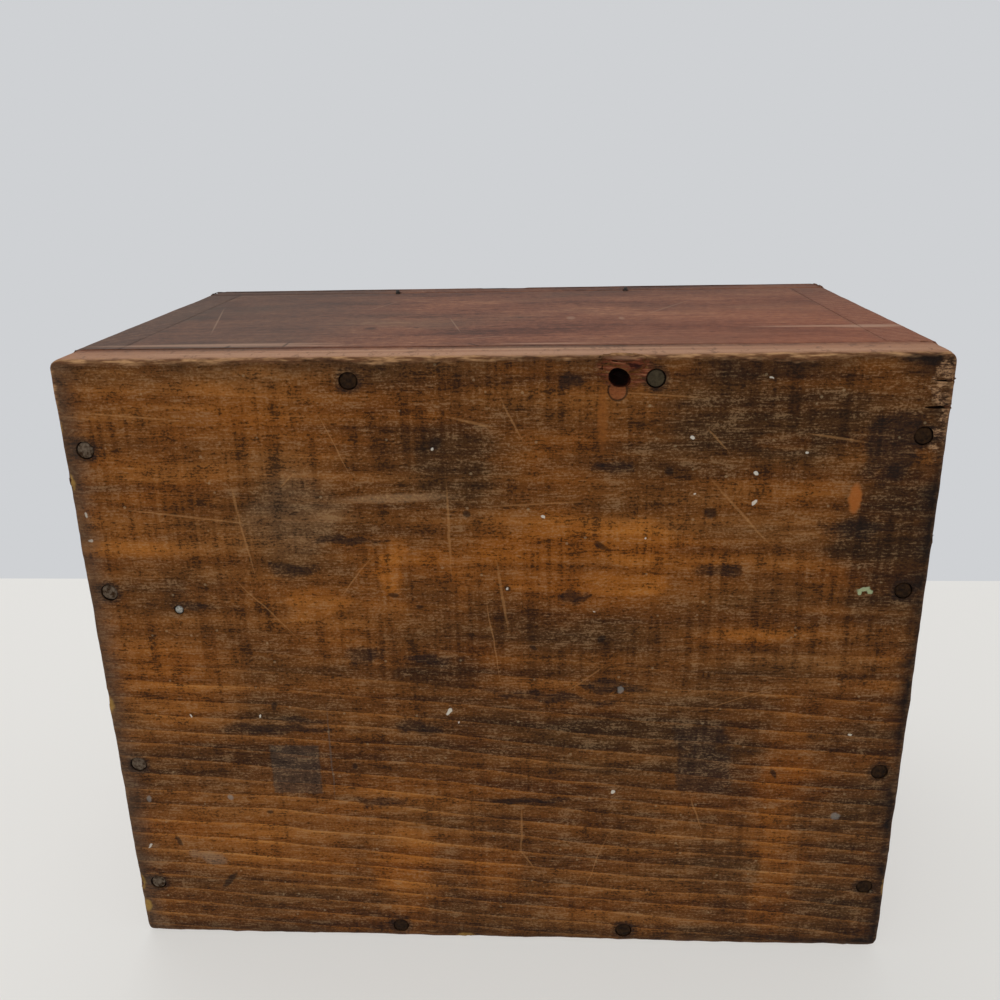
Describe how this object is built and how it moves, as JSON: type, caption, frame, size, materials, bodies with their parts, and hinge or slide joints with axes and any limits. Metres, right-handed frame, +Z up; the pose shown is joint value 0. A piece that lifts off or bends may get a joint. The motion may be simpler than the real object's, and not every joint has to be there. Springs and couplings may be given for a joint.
{
  "type": "candle box",
  "caption": "Six-board wooden candle box with a flush lid on two snipe hinges, nailed at the corners and through the bottom.",
  "frame": {"origin": "centre of the underside", "axes": "+Z up through the lid, X along the length, front at -Y and the hinged back at +Y"},
  "size_m": [0.33, 0.2678, 0.1945],
  "materials": {
    "sawn_board": "rough-sawn pine, darkened by age and handling",
    "stained_board": "planed pine, old red-brown stain",
    "end_board": "planed pine, old red-brown stain, dark end grain",
    "lid_board": "planed pine, old red-brown stain, worn edges",
    "iron_nail": "dark oxidised iron",
    "brad": "dull grey iron",
    "iron_wire": "dark hand-drawn iron wire"
  },
  "bodies": {
    "box": {"bottom_board": "sawn_board", "front_wall": "stained_board", "back_wall": "stained_board", "left_end": "end_board", "right_end": "end_board", "bottom_nails_front": "iron_nail", "bottom_nails_back": "iron_nail", "bottom_nails_left": "iron_nail", "bottom_nails_right": "iron_nail", "corner_nails_front_left": "iron_nail", "corner_nails_front_right": "iron_nail", "corner_nails_back_left": "iron_nail", "corner_nails_back_right": "iron_nail", "stray_brad": "brad", "left_wall_pin": "iron_wire", "right_wall_pin": "iron_wire"},
    "lid": {"lid": "lid_board", "left_lid_pin": "iron_wire", "right_lid_pin": "iron_wire"}
  },
  "joints": [
    {"name": "lid_hinge", "type": "hinge", "parent": "box", "child": "lid", "pos_m": [0, 0.1318, 0.17485], "axis": [-1, 0, 0], "range_deg": [0, 110]}
  ]
}
